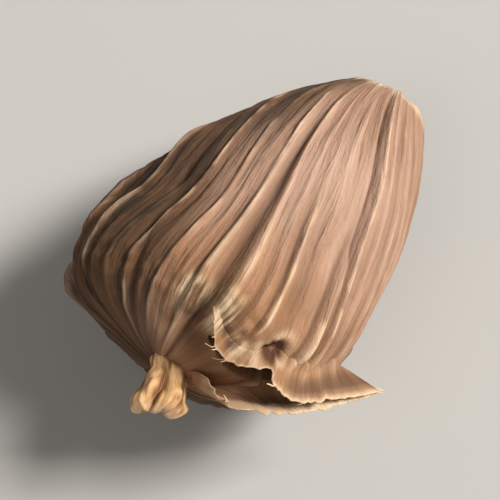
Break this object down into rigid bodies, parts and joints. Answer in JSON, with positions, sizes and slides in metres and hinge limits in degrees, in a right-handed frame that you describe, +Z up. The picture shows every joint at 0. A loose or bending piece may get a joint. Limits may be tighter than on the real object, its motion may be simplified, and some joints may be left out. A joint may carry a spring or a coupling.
{
  "type": "black cardamom pod",
  "caption": "Dried black cardamom pod lying on its side: a ribbed, furrowed husk with a blunt neck, a split crown with papery lips and a flower-tube stub.",
  "frame": {"origin": "on the surface that the pod lies on, under the middle of its box", "axes": "+Y along the pod, from the split crown and the flower-tube stub to the narrow neck and its scar; +Z up from the surface it lies on; +X to the side that the crown's lips flare out to"},
  "size_m": [0.0227, 0.0308, 0.0161],
  "materials": {
    "dry_husk": "dry, fibrous and matt, pinkish tan on the worn ribs and dark brown in the furrows"
  },
  "bodies": {
    "root": {"cardamom_pod": "dry_husk"}
  },
  "joints": []
}
